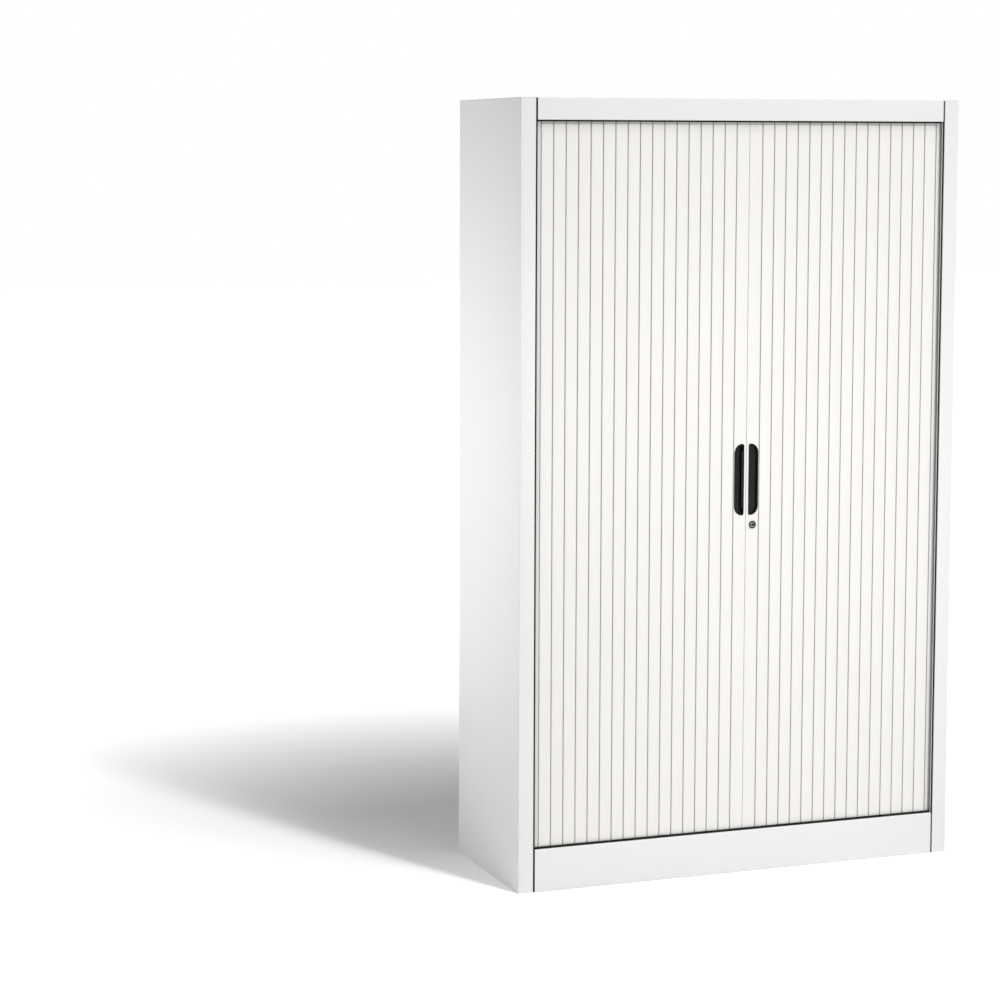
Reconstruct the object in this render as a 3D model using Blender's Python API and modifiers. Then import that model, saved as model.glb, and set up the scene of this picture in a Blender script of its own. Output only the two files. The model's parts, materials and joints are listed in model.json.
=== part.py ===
import math

import bmesh
import bpy
from mathutils import Matrix

# A steel storage cabinet with two tambour doors of vertical plastic slats. Metres, +Z up,
# origin on the floor under the middle of the cabinet, front face towards -Y.

# Carcass
width = 1.200
depth = 0.420
height = 1.950
sheet = 0.0012
fold_radius = 0.0022
fold_steps = 3
fit_gap = 0.0003
stile_width = 0.040
rear_flange = 0.025
foot_flange = 0.020
header_height = 0.0540
plinth_height = 0.1055
seal_width = 0.0038
seal_setback = 0.0010
wing_overlap = 0.0050

# Floor and ceiling pans, and the black lips that show beside them
pan_fold = 0.020
floor_level = 0.1010
ceiling_rise = 0.0093
upper_lip_show = 0.0040
lower_lip_show = 0.0058
web_thickness = 0.0015

# Track and curtain path
curtain_recess = 0.0120
side_run_inset = 0.0160
corner_radius = 0.0400
channel_width = 0.0130
track_wall = 0.0012
rear_run_end = 0.2600
corner_steps = 7

# Slats
slat_thickness = 0.0070
slat_groove = 0.0024
slat_crown = 0.0005
slat_edge_radius = 0.0010
slat_wall = 0.0016
stem_thickness = 0.0012
bead_radius = 0.0015
socket_radius = 0.0020
socket_inset = 0.0033
mouth_width = 0.0022
chamber_gap = 0.0018
slat_foot_clearance = 0.0008
slat_head_clearance = 0.0030
left_slats = 16
right_slats = 15
tail_slats = 5
tail_bow_share = 0.6
crown_points = 5
round_points = 7

# Lead slats, handles and lock
lead_width = 0.0370
meeting_gap = 0.0004
handle_width = 0.0270
handle_height = 0.1800
handle_level = 1.0010
handle_setback = 0.0060
handle_corner_width = 0.0210
handle_corner_height = 0.0190
handle_small_radius = 0.0035
handle_proud = 0.0012
handle_rim = 0.0024
handle_wall = 0.0013
handle_depth = 0.0095
handle_step = 0.0010
handle_corner_steps = 5
handle_small_steps = 2
lip_depth = 0.0035
lip_reach = 0.0045
lock_gap = 0.0250
lock_rim_radius = 0.0098
lock_rim_proud = 0.0020
lock_rim_ease_share = 0.33
lock_body_radius = 0.0080
lock_bore_radius = 0.0058
lock_nut_radius = 0.0110
lock_nut_thickness = 0.0022
plug_radius = 0.0055
plug_setback = 0.0004
shank_radius = 0.0037
running_gap = 0.0003
key_slot_width = 0.0015
key_slot_height = 0.0070
key_slot_depth = 0.0080
hook_thickness = 0.0022
hook_width = 0.0072
hook_eye_radius = 0.0060
hook_reach = 0.0250
hook_nose = 0.0090
hook_nose_width = 0.0022
hook_clearance = 0.0004
screw_head_radius = 0.0046
screw_head_thickness = 0.0018
strike_thickness = 0.0016
strike_edge_inset = 0.0018
strike_width = 0.0290
strike_height = 0.0300
strike_lip_height = 0.0085
strike_lip_depth = 0.0078

# Inner walls and shelves
shelf_count = 4
shelf_fold = 0.025
shelf_lip = 0.012
shelf_front_inset = 0.0400
shelf_side_gap = 0.0008
shelf_corner = 0.030
shelf_corner_steps = 5
inner_wall_edge = 0.0020
inner_wall_flange = 0.0240
inner_wall_steps = 6
inner_back_inset = 0.0040
slots_per_bay = 3
slot_width = 0.004
slot_height = 0.014
slot_column_inset = 0.0750
clip_width = 0.012
clip_height = 0.010
clip_reach = 0.010

# Working values shared by every piece
cut_overrun = 0.002
weld_distance = 0.00001
smooth_angle = 35
round_sides = 24
level_share = 0.9

# Places worked out from the sizes above
front = -depth / 2
back = depth / 2
side = width / 2
side_inner = side - sheet
curtain_face = front + curtain_recess
curtain_line = curtain_face + slat_thickness / 2
curtain_back = curtain_face + slat_thickness
side_run = side - side_run_inset
rear_line = -curtain_line
straight_end = side_run - corner_radius
corner_start = curtain_line + corner_radius
slat_pitch = 2 * (straight_end - lead_width) / (left_slats + right_slats)
meeting_offset = (left_slats - right_slats) * slat_pitch / 2
track_half = channel_width / 2 + track_wall
track_front = curtain_line - track_half
return_end = track_front - fit_gap
lid_underside = height - sheet
header_bottom = height - header_height
ceiling_level = header_bottom + ceiling_rise
upper_web_top = ceiling_level - fit_gap
upper_web_bottom = upper_web_top - web_thickness
upper_lip_bottom = header_bottom - upper_lip_show
lower_web_bottom = floor_level + fit_gap
lower_web_top = lower_web_bottom + web_thickness
lower_lip_top = plinth_height + lower_lip_show
slat_bottom = lower_web_top + slat_foot_clearance
slat_top = upper_web_bottom - slat_head_clearance
stile_inner = side - stile_width
rail_end = stile_inner - seal_width - 2 * fit_gap
inner_wall_outer = side_run - track_half - fit_gap
inner_wall_face = inner_wall_outer - sheet
inner_wall_arc = inner_wall_outer - straight_end
inner_wall_rear = rear_line - track_half - fit_gap
inner_back_rear = inner_wall_rear - sheet - fit_gap
inner_back_face = inner_back_rear - sheet
bay_height = (ceiling_level - floor_level) / (shelf_count + 1)
lock_level = handle_level - handle_height / 2 - lock_gap
lock_place = meeting_offset + lead_width / 2
nut_front = curtain_back + fit_gap
nut_back = nut_front + lock_nut_thickness
hook_front = nut_back + 2 * running_gap
hook_back = hook_front + hook_thickness

colours = {
    "body_enamel": ((0.82, 0.83, 0.84), 0.38, 0.0),
    "slat_plastic": ((0.86, 0.86, 0.84), 0.45, 0.0),
    "black_plastic": ((0.015, 0.016, 0.016), 0.42, 0.0),
    "lock_metal": ((0.55, 0.55, 0.56), 0.28, 1.0),
    "zinc_steel": ((0.60, 0.61, 0.62), 0.40, 1.0),
}


def clear_scene():
    for obj in list(bpy.data.objects):
        bpy.data.objects.remove(obj, do_unlink=True)


def new_collection(name):
    made = bpy.data.collections.new(name)
    bpy.context.scene.collection.children.link(made)
    return made


def new_material(name):
    colour, roughness, metallic = colours[name]
    made = bpy.data.materials.new(name)
    made.use_nodes = True
    shader = made.node_tree.nodes["Principled BSDF"]
    shader.inputs["Base Color"].default_value = (*colour, 1)
    shader.inputs["Roughness"].default_value = roughness
    shader.inputs["Metallic"].default_value = metallic
    made.diffuse_color = (*colour, 1)
    return made


def finish_mesh(bm, name, material, smooth=True):
    mesh = bpy.data.meshes.new(name)
    bm.to_mesh(mesh)
    bm.free()
    obj = bpy.data.objects.new(name, mesh)
    parts.objects.link(obj)
    obj.data.materials.append(materials[material])
    if smooth:
        mesh.shade_smooth()
        mesh.set_sharp_from_angle(angle=math.radians(smooth_angle))
    return obj


def as_cutter(obj):
    parts.objects.unlink(obj)
    cutters.objects.link(obj)
    obj.hide_render = True
    obj.display_type = "WIRE"
    return obj


def set_origin(obj, place):
    """Moves the object's origin to the place and leaves its surface where it is."""
    obj.data.transform(Matrix.Translation([-value for value in place]))
    obj.location = place


def hang_on(guide, pieces):
    """Parents the pieces to an empty without moving them."""
    for piece in pieces:
        piece.parent = guide
        piece.matrix_parent_inverse = Matrix.Translation([-value for value in guide.location])


def door_guide(name, place):
    guide = bpy.data.objects.new(name, None)
    guide.location = place
    parts.objects.link(guide)
    return guide


def boolean(obj, other, operation):
    modifier = obj.modifiers.new(operation.lower(), "BOOLEAN")
    modifier.operation = operation
    modifier.object = other
    modifier.solver = "EXACT"


def thicken(obj, thickness=sheet):
    modifier = obj.modifiers.new("wall", "SOLIDIFY")
    modifier.thickness = thickness
    modifier.offset = -1
    modifier.use_even_offset = True


def rounded(points, radius, steps):
    """The open path with each inner corner turned into an arc."""
    path = [points[0]]
    for before, corner, after in zip(points, points[1:], points[2:]):
        first = (before[0] - corner[0], before[1] - corner[1])
        second = (after[0] - corner[0], after[1] - corner[1])
        first_length = math.hypot(*first)
        second_length = math.hypot(*second)
        first = (first[0] / first_length, first[1] / first_length)
        second = (second[0] / second_length, second[1] / second_length)
        half = math.acos(first[0] * second[0] + first[1] * second[1]) / 2
        reach = radius / math.tan(half)
        to_centre = radius / math.sin(half)
        bisector = (first[0] + second[0], first[1] + second[1])
        length = math.hypot(*bisector)
        centre = (
            corner[0] + bisector[0] / length * to_centre,
            corner[1] + bisector[1] / length * to_centre,
        )
        start = (corner[0] + first[0] * reach, corner[1] + first[1] * reach)
        end = (corner[0] + second[0] * reach, corner[1] + second[1] * reach)
        begin = math.atan2(start[1] - centre[1], start[0] - centre[0])
        turn = math.atan2(end[1] - centre[1], end[0] - centre[0]) - begin
        turn = (turn + math.pi) % (2 * math.pi) - math.pi
        for step in range(steps + 1):
            angle = begin + turn * step / steps
            path.append(
                (
                    centre[0] + radius * math.cos(angle),
                    centre[1] + radius * math.sin(angle),
                )
            )
    path.append(points[-1])
    return path


def on_axis(point, along, axis):
    """A profile point carried to a place along X (profile in Y, Z) or along Z (profile in X, Y)."""
    return (along, *point) if axis == "X" else (*point, along)


def strip(path, low, high, axis):
    """An open sheet: the path extruded along an axis, facing away from the path's left side."""
    bm = bmesh.new()
    rows = [[bm.verts.new(on_axis(p, along, axis)) for p in path] for along in (low, high)]
    for i in range(len(path) - 1):
        bm.faces.new((rows[0][i], rows[0][i + 1], rows[1][i + 1], rows[1][i]))
    return bm


def folded_sheet(name, points, low, high, axis, radius=fold_radius, steps=fold_steps):
    """Sheet metal bent along a profile of outer faces. The wall lies to the path's left."""
    obj = finish_mesh(strip(rounded(points, radius, steps), low, high, axis), name, "body_enamel")
    thicken(obj)
    return obj


def mirrored(points):
    return [(-x, y) for x, y in reversed(points)]


def box(bm, low, high):
    made = bmesh.ops.create_cube(bm, size=1)["verts"]
    for vert in made:
        for i in range(3):
            vert.co[i] = low[i] + (vert.co[i] + 0.5) * (high[i] - low[i])
    return made


def solid_box(name, low, high, material):
    bm = bmesh.new()
    box(bm, low, high)
    return finish_mesh(bm, name, material)


def pan(name, low, high, open_side, lip=0, corner=0):
    """A shallow folded tray, open at its top (+1) or bottom (-1), with a lip turned inwards."""
    bm = bmesh.new()
    box(bm, low, high)
    if corner:
        upright = [e for e in bm.edges if abs(e.verts[0].co.z - e.verts[1].co.z) > weld_distance]
        bmesh.ops.bevel(
            bm,
            geom=upright,
            offset=corner,
            segments=shelf_corner_steps,
            profile=0.5,
            affect="EDGES",
        )
    bm.normal_update()
    mouth = next(f for f in bm.faces if f.normal.z * open_side > level_share)
    if lip:
        bmesh.ops.inset_region(bm, faces=[mouth], thickness=lip, use_even_offset=True)
    bmesh.ops.delete(bm, geom=[mouth], context="FACES_ONLY")
    obj = finish_mesh(bm, name, "body_enamel")
    thicken(obj)
    return obj


def outline_solid(name, loops, low, high, material):
    """A flat outline, with holes, filled and extruded along Z as a 2D curve, then made a mesh."""
    curve = bpy.data.curves.new(name, "CURVE")
    curve.dimensions = "2D"
    curve.fill_mode = "BOTH"
    curve.extrude = (high - low) / 2
    for loop in loops:
        spline = curve.splines.new("POLY")
        spline.points.add(len(loop) - 1)
        for point, (x, y) in zip(spline.points, loop):
            point.co = (x, y, 0, 1)
        spline.use_cyclic_u = True
    guide = bpy.data.objects.new(name + "_outline", curve)
    guide.location.z = (low + high) / 2
    parts.objects.link(guide)
    bpy.context.view_layer.update()
    graph = bpy.context.evaluated_depsgraph_get()
    mesh = bpy.data.meshes.new_from_object(guide.evaluated_get(graph))
    mesh.transform(guide.matrix_world)
    bpy.data.objects.remove(guide, do_unlink=True)
    bpy.data.curves.remove(curve)
    bm = bmesh.new()
    bm.from_mesh(mesh)
    bpy.data.meshes.remove(mesh)
    bmesh.ops.remove_doubles(bm, verts=bm.verts[:], dist=weld_distance)
    bmesh.ops.recalc_face_normals(bm, faces=bm.faces[:])
    return finish_mesh(bm, name, material)


def rings_solid(name, rings, material):
    """A closed loft through rings that hold the same number of points, capped at both ends."""
    bm = bmesh.new()
    rows = [[bm.verts.new(p) for p in ring] for ring in rings]
    count = len(rows[0])
    for low, high in zip(rows, rows[1:]):
        for i in range(count):
            j = (i + 1) % count
            bm.faces.new((low[i], low[j], high[j], high[i]))
    bm.faces.new(rows[0][::-1])
    bm.faces.new(rows[-1])
    bmesh.ops.recalc_face_normals(bm, faces=bm.faces[:])
    return finish_mesh(bm, name, material)


def turned(name, profile, place, level, material):
    """A profile of (radius, y) points turned about an axis along Y through (place, level)."""
    rings = [
        [
            (
                place + radius * math.cos(2 * math.pi * i / round_sides),
                y,
                level + radius * math.sin(2 * math.pi * i / round_sides),
            )
            for i in range(round_sides)
        ]
        for radius, y in profile
    ]
    return rings_solid(name, rings, material)


def arc(centre, radius, start, end, steps):
    return [
        (
            centre[0] + radius * math.cos(math.radians(start + (end - start) * i / steps)),
            centre[1] + radius * math.sin(math.radians(start + (end - start) * i / steps)),
        )
        for i in range(steps + 1)
    ]


# Carcass


def side_panel(name, hand):
    """Side wall, front stile with its return, rear flange and a fold along the floor."""
    points = [
        (-side + rear_flange, back),
        (-side, back),
        (-side, front),
        (-stile_inner, front),
        (-stile_inner, return_end),
    ]
    if hand > 0:
        points = mirrored(points)
    obj = folded_sheet(name, points, 0, lid_underside - fit_gap, "Z")
    low_x, high_x = sorted((hand * (side_inner + sheet / 2), hand * (side - foot_flange)))
    fold = solid_box(
        name + "_foot",
        (low_x, front + fold_radius, 0),
        (high_x, back - fold_radius, sheet),
        "body_enamel",
    )
    boolean(obj, as_cutter(fold), "UNION")


def top_panel():
    """Lid and header bent from one sheet: the header fits between the stiles."""
    points = [
        (back, height),
        (front, height),
        (front, header_bottom),
        (return_end, header_bottom),
    ]
    obj = folded_sheet("top_panel", points, -rail_end, rail_end, "X")
    joint = rail_end - wing_overlap
    shoulder = rail_end + fit_gap
    for hand in (-1, 1):
        wing = [
            (hand * joint, front + fold_radius),
            (hand * shoulder, front + fold_radius),
            (hand * shoulder, front),
            (hand * side, front),
            (hand * side, back),
            (hand * joint, back),
        ]
        plate = outline_solid(f"lid_wing_{hand}", [wing], lid_underside, height, "body_enamel")
        boolean(obj, as_cutter(plate), "UNION")


def plinth():
    points = [
        (front + foot_flange, 0),
        (front, 0),
        (front, plinth_height),
        (return_end, plinth_height),
    ]
    folded_sheet("plinth", points[::-1], -rail_end, rail_end, "X")


def edge_seal(name, hand):
    """Black strip that closes the joint beside a stile, from the floor to the lid."""
    inner = stile_inner - fit_gap - seal_width
    outer = stile_inner - fit_gap
    low, high = sorted((hand * inner, hand * outer))
    solid_box(
        name,
        (low, front + seal_setback, 0),
        (high, return_end, lid_underside - fit_gap),
        "black_plastic",
    )


def horizontal_pans():
    pan_side = side_inner - fit_gap
    rear = back - 2 * sheet - 2 * fit_gap
    pan(
        "floor_panel",
        (-pan_side, track_front, floor_level - pan_fold),
        (pan_side, rear, floor_level),
        -1,
    )
    pan(
        "ceiling_panel",
        (-pan_side, track_front, ceiling_level),
        (pan_side, rear, ceiling_level + pan_fold),
        1,
    )


def back_panel():
    face = back - sheet - fit_gap
    reach = side - fold_radius
    solid_box(
        "back_panel",
        (-reach, face - sheet, sheet + fit_gap),
        (reach, face, lid_underside - fit_gap),
        "body_enamel",
    )


# Track


def curtain_path():
    """Middle line of the curtain round the cabinet, from the left rear run to the right one."""
    corners = [
        (-rear_run_end, rear_line),
        (-side_run, rear_line),
        (-side_run, curtain_line),
        (side_run, curtain_line),
        (side_run, rear_line),
        (rear_run_end, rear_line),
    ]
    return rounded(corners, corner_radius, corner_steps)


def path_normals(path):
    """Unit normal to the path's left at each point, from the directions on both sides of it."""
    normals = []
    for i in range(len(path)):
        before = path[max(i - 1, 0)]
        after = path[min(i + 1, len(path) - 1)]
        length = math.hypot(after[0] - before[0], after[1] - before[1])
        normals.append((-(after[1] - before[1]) / length, (after[0] - before[0]) / length))
    return normals


def track(name, web_low, web_high, lip_end):
    """Black channel swept along the curtain's path: a web with a lip on each side."""
    half = channel_width / 2
    web, inside = (web_low, web_high) if lip_end > web_high else (web_high, web_low)
    section = [
        (-track_half, web),
        (-track_half, lip_end),
        (-half, lip_end),
        (-half, inside),
        (half, inside),
        (half, lip_end),
        (track_half, lip_end),
        (track_half, web),
    ]
    path = curtain_path()
    rings = [
        [(x + nx * offset, y + ny * offset, z) for offset, z in section]
        for (x, y), (nx, ny) in zip(path, path_normals(path))
    ]
    rings_solid(name, rings, "black_plastic")


# Slats


def edge_round(u, v, direction_u, direction_v):
    """Two points that ease a slat corner at (u, v); the slat lies along the two directions."""
    ease = slat_edge_radius * (1 - math.sqrt(0.5))
    first = (u, v + direction_v * slat_edge_radius)
    middle = (u + direction_u * ease, v + direction_v * ease)
    second = (u + direction_u * slat_edge_radius, v)
    return [first, middle, second]


def crowned_front(length):
    """Front face from its near edge to its far edge, proud in the middle by the crown."""
    start = slat_edge_radius
    span = length - 2 * slat_edge_radius
    points = []
    for i in range(crown_points + 1):
        share = i / crown_points
        points.append((start + span * share, slat_crown * (2 * share - 1) ** 2))
    return points


def socket_end():
    """Near end of a slat, from back to front: a mouth that opens into a round socket."""
    middle = slat_thickness / 2
    mouth = mouth_width / 2
    open_angle = math.degrees(math.asin(mouth / socket_radius))
    hollow = arc(
        (socket_inset, middle), socket_radius, 180 - open_angle, open_angle - 180, round_points
    )
    return [(0, middle + mouth), *hollow, (0, middle - mouth)]


def tongue_end(length):
    """Far end of a slat, from front to back: a stem with a bead for the next slat's socket."""
    middle = slat_thickness / 2
    half = stem_thickness / 2
    centre = length + slat_groove + socket_inset
    open_angle = math.degrees(math.asin(half / bead_radius))
    bead = arc((centre, middle), bead_radius, 180 + open_angle, 540 - open_angle, round_points)
    return [(length, middle - half), *bead, (length, middle + half)]


def slat_outline(length, near_end, far_end):
    """Closed outline in (along the curtain, depth behind the face), near end at zero."""
    front_near = edge_round(0, slat_crown, 1, 1)
    front_far = edge_round(length, slat_crown, -1, 1)[::-1]
    back_far = edge_round(length, slat_thickness, -1, -1)
    back_near = edge_round(0, slat_thickness, 1, -1)[::-1]
    return [
        *front_near[:-1],
        *crowned_front(length),
        *front_far[1:],
        *far_end,
        *back_far,
        *back_near,
        *near_end,
    ]


def chamber_outline(start, end):
    """Hollow inside a slat: a long box with eased corners."""
    low = slat_wall
    high = slat_thickness - slat_wall
    ease = slat_edge_radius / 2
    return [
        (start + ease, low),
        (end - ease, low),
        (end, low + ease),
        (end, high - ease),
        (end - ease, high),
        (start + ease, high),
        (start, high - ease),
        (start, low + ease),
    ]


def placed(outline, edge, hand):
    """Outline moved to the cabinet: near end at the edge, running outwards to one side."""
    return [(edge + hand * u, curtain_face + v) for u, v in outline]


def lead_edge(hand):
    return meeting_offset + hand * meeting_gap / 2


def slat_edge(hand, number):
    """Near edge of a slat, counted from one beside the lead slat."""
    return meeting_offset + hand * (lead_width + (number - 1) * slat_pitch)


def slats(word, hand, count):
    length = slat_pitch - slat_groove
    outline = slat_outline(length, socket_end(), tongue_end(length))
    chamber = chamber_outline(socket_inset + socket_radius + chamber_gap, length - slat_wall)
    made = []
    for number in range(1, count + 1):
        edge = slat_edge(hand, number)
        slat = outline_solid(
            f"{word}_slat_{number:02d}",
            [placed(outline, edge, hand), placed(chamber, edge, hand)],
            slat_bottom,
            slat_top,
            "slat_plastic",
        )
        made.append(slat)
    return made


def path_point(distance, swell):
    """Point of the corner and side run at a distance from the end of the front run."""
    turn = corner_radius * math.pi / 2
    if distance <= turn:
        angle = distance / corner_radius
        reach = corner_radius + swell * math.sin(angle)
        return (
            straight_end + reach * math.sin(angle),
            corner_start - reach * math.cos(angle),
        )
    return (side_run + swell, corner_start + distance - turn)


def curtain_tail(word, hand):
    """The slats that are already round the corner, as one flexible strip with ribs."""
    bow = slat_pitch**2 / (8 * corner_radius) * tail_bow_share
    turn = corner_radius * math.pi / 2
    joints = []
    for number in range(tail_slats + 1):
        distance = number * slat_pitch
        swell = bow if distance < turn + slat_pitch else 0
        joints.append(path_point(distance, swell))
    half = slat_thickness / 2
    outer = []
    inner = []
    for (x0, y0), (x1, y1) in zip(joints, joints[1:]):
        length = math.hypot(x1 - x0, y1 - y0)
        along = ((x1 - x0) / length, (y1 - y0) / length)
        across = (along[1], -along[0])
        body = length - slat_groove
        ease = slat_edge_radius
        stem = stem_thickness / 2
        front_side = [
            (0, half - ease),
            (ease, half - slat_crown),
            (body / 2, half),
            (body - ease, half - slat_crown),
            (body, half - ease),
            (body, stem),
            (length, stem),
        ]
        for u, v in front_side:
            outer.append((x0 + along[0] * u + across[0] * v, y0 + along[1] * u + across[1] * v))
            inner.append((x0 + along[0] * u - across[0] * v, y0 + along[1] * u - across[1] * v))
    near = [(straight_end + u, curtain_face + v) for u, v in socket_end()]
    outline = [*outer[:-2], *inner[-3::-1], *near]
    outline_solid(
        f"{word}_curtain_tail",
        [[(hand * x, y) for x, y in outline]],
        slat_bottom,
        slat_top,
        "slat_plastic",
    )


# Lead slats and what they carry


def handle_outline(hand, inset, y):
    """Half-oval outline: eased on the meeting side, long rounded corners on the outer side."""
    near = handle_setback + inset
    far = handle_setback + handle_width - inset
    top = handle_height / 2 - inset
    wide = handle_corner_width - inset / 2
    tall = handle_corner_height - inset / 2
    small = handle_small_radius - inset / 2
    quarter = []
    for i in range(handle_corner_steps + 1):
        angle = math.pi / 2 * i / handle_corner_steps
        quarter.append(
            (far - wide + wide * math.cos(angle), top - tall + tall * math.sin(angle))
        )
    for i in range(handle_small_steps + 1):
        angle = math.pi / 2 * (1 + i / handle_small_steps)
        quarter.append(
            (near + small + small * math.cos(angle), top - small + small * math.sin(angle))
        )
    loop = quarter + [(u, -v) for u, v in reversed(quarter)]
    edge = lead_edge(hand)
    return [(edge + hand * u, y, handle_level + v) for u, v in loop]


def handle(name, hand):
    """Recessed finger pull: a rim on the slat's face and a cup let into its window."""
    face = curtain_face - handle_proud
    seat = curtain_face - fit_gap
    cup_back = curtain_face + handle_depth
    cup_floor = cup_back - handle_wall
    rings = [
        handle_outline(hand, handle_rim, cup_floor),
        handle_outline(hand, handle_rim, face + handle_step),
        handle_outline(hand, handle_rim - handle_step / 2, face),
        handle_outline(hand, handle_step / 2, face),
        handle_outline(hand, 0, face + handle_step / 2),
        handle_outline(hand, 0, seat),
        handle_outline(hand, handle_wall, seat),
        handle_outline(hand, handle_wall, cup_back),
    ]
    return rings_solid(name, rings, "black_plastic")


def grip_lip(obj, hand):
    """Overhang on the meeting side of the cup, which the fingers pull against."""
    edge = lead_edge(hand)
    near = handle_setback + handle_rim - cut_overrun / 2
    far = near + lip_reach
    face = curtain_face - handle_proud + handle_step
    low = (edge + hand * near, face, handle_level - handle_height / 2 + handle_corner_height)
    high = (edge + hand * far, face + lip_depth, handle_level + handle_height / 2 - handle_corner_height)
    low, high = zip(*(sorted(pair) for pair in zip(low, high)))
    boolean(obj, as_cutter(solid_box(obj.name + "_lip", low, high, "black_plastic")), "UNION")
    return obj


def lead_slat(word, hand):
    """Wider last slat of a door, with a window for the handle and, right, a hole for the lock."""
    shift = meeting_gap / 2
    length = lead_width - slat_groove - shift
    outline = slat_outline(length, [], tongue_end(length))
    chamber = chamber_outline(slat_wall, length - slat_wall)
    obj = outline_solid(
        f"{word}_lead_slat",
        [placed(outline, lead_edge(hand), hand), placed(chamber, lead_edge(hand), hand)],
        slat_bottom,
        slat_top,
        "slat_plastic",
    )
    window = handle_wall - fit_gap
    cut = rings_solid(
        f"{word}_window",
        [
            handle_outline(hand, window, curtain_face - cut_overrun),
            handle_outline(hand, window, curtain_back + cut_overrun),
        ],
        "slat_plastic",
    )
    boolean(obj, as_cutter(cut), "DIFFERENCE")
    if hand > 0:
        radius = lock_body_radius + fit_gap
        profile = [(radius, curtain_face - cut_overrun), (radius, curtain_back + cut_overrun)]
        hole = turned("lock_hole", profile, lock_place, lock_level, "slat_plastic")
        boolean(obj, as_cutter(hole), "DIFFERENCE")
    return obj


def lock_case():
    """Threaded barrel with a rim on the slat's face and a nut behind it, bored for the plug."""
    rim_face = curtain_face - lock_rim_proud
    seat = curtain_face - fit_gap
    ease = lock_rim_proud * lock_rim_ease_share
    obj = turned(
        "lock_case",
        [
            (lock_rim_radius - ease, rim_face),
            (lock_rim_radius, rim_face + ease),
            (lock_rim_radius, seat),
            (lock_body_radius, seat),
            (lock_body_radius, nut_front),
            (lock_nut_radius, nut_front),
            (lock_nut_radius, nut_back),
            (lock_body_radius, nut_back),
        ],
        lock_place,
        lock_level,
        "lock_metal",
    )
    ends = (rim_face - cut_overrun, nut_back + cut_overrun)
    bore = [(lock_bore_radius, y) for y in ends]
    cut = turned("lock_bore", bore, lock_place, lock_level, "lock_metal")
    boolean(obj, as_cutter(cut), "DIFFERENCE")
    return obj


def lock_cylinder():
    """Plug that turns in the barrel, with a key slot and a headed shank behind for the hook."""
    face = curtain_face - lock_rim_proud + plug_setback
    shoulder = hook_front - running_gap
    head = hook_back + running_gap
    obj = turned(
        "lock_cylinder",
        [
            (plug_radius, face),
            (plug_radius, shoulder),
            (shank_radius, shoulder),
            (shank_radius, head),
            (screw_head_radius, head),
            (screw_head_radius, head + screw_head_thickness),
        ],
        lock_place,
        lock_level,
        "lock_metal",
    )
    low = (-key_slot_width / 2, face - cut_overrun, -key_slot_height / 2)
    high = (key_slot_width / 2, face + key_slot_depth, key_slot_height / 2)
    place = (lock_place, 0, lock_level)
    low = tuple(a + b for a, b in zip(low, place))
    high = tuple(a + b for a, b in zip(high, place))
    boolean(obj, as_cutter(solid_box("key_slot", low, high, "lock_metal")), "DIFFERENCE")
    return obj


def lock_hook():
    """Cam plate that hangs down unlocked; a quarter turn swings its nose behind the strike."""
    half = hook_width / 2
    start = math.degrees(math.asin(half / hook_eye_radius))
    outline = [
        *arc((0, 0), hook_eye_radius, start - 90, 270 - start, 2 * round_points),
        (-half, hook_nose_width - hook_reach),
        (-hook_nose, hook_nose_width - hook_reach),
        (-hook_nose, -hook_reach),
        (half, -hook_reach),
    ]
    rings = [
        [(lock_place + u, y, lock_level + v) for u, v in outline] for y in (hook_front, hook_back)
    ]
    obj = rings_solid("lock_hook", rings, "zinc_steel")
    radius = shank_radius + running_gap
    hole = [(radius, hook_front - cut_overrun), (radius, hook_back + cut_overrun)]
    cut = turned("hook_hole", hole, lock_place, lock_level, "zinc_steel")
    boolean(obj, as_cutter(cut), "DIFFERENCE")
    return obj


def strike_plate():
    """Plate on the back of the left lead slat with a lip that the hook's nose catches."""
    edge = lead_edge(-1) - strike_edge_inset
    seat = curtain_back + fit_gap
    lip_low = lock_level + hook_width / 2 + hook_clearance
    lip_high = lip_low + strike_lip_height
    obj = solid_box(
        "strike_plate",
        (edge - strike_width, seat, lip_high - strike_height),
        (edge, seat + strike_thickness, lip_high),
        "zinc_steel",
    )
    lip = solid_box(
        "strike_lip",
        (edge - strike_thickness, seat + strike_thickness / 2, lip_low),
        (edge, curtain_back + strike_lip_depth, lip_high),
        "zinc_steel",
    )
    boolean(obj, as_cutter(lip), "UNION")
    return obj


# Inside


def inner_wall(name, hand):
    """Liner between curtain and shelves: rounded past both corners, slotted, with shelf clips."""
    points = [
        (straight_end - inner_wall_edge, -inner_wall_rear),
        (inner_wall_outer, -inner_wall_rear),
        (inner_wall_outer, inner_wall_rear),
        (straight_end - inner_wall_flange, inner_wall_rear),
    ]
    if hand < 0:
        points = mirrored(points)
    low = floor_level + fit_gap
    high = ceiling_level - fit_gap
    obj = folded_sheet(name, points, low, high, "Z", inner_wall_arc, inner_wall_steps)
    columns = [corner_start + slot_column_inset, -corner_start - slot_column_inset]
    slots = bmesh.new()
    clips = bmesh.new()
    wall = (inner_wall_face - cut_overrun, inner_wall_outer + cut_overrun)
    seat = (inner_wall_face - clip_reach, inner_wall_face + sheet / 2)
    for y in columns:
        for bay in range(shelf_count + 1):
            bay_floor = floor_level + bay * bay_height
            for step in range(1, slots_per_bay + 1):
                z = bay_floor + bay_height * step / (slots_per_bay + 1)
                block(slots, hand, wall, y, slot_width, z, slot_height)
            if bay:
                z = bay_floor - shelf_fold - fit_gap - clip_height / 2
                block(clips, hand, seat, y, clip_width, z, clip_height)
    boolean(obj, as_cutter(finish_mesh(slots, name + "_slots", "body_enamel")), "DIFFERENCE")
    boolean(obj, as_cutter(finish_mesh(clips, name + "_clips", "zinc_steel")), "UNION")


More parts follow.
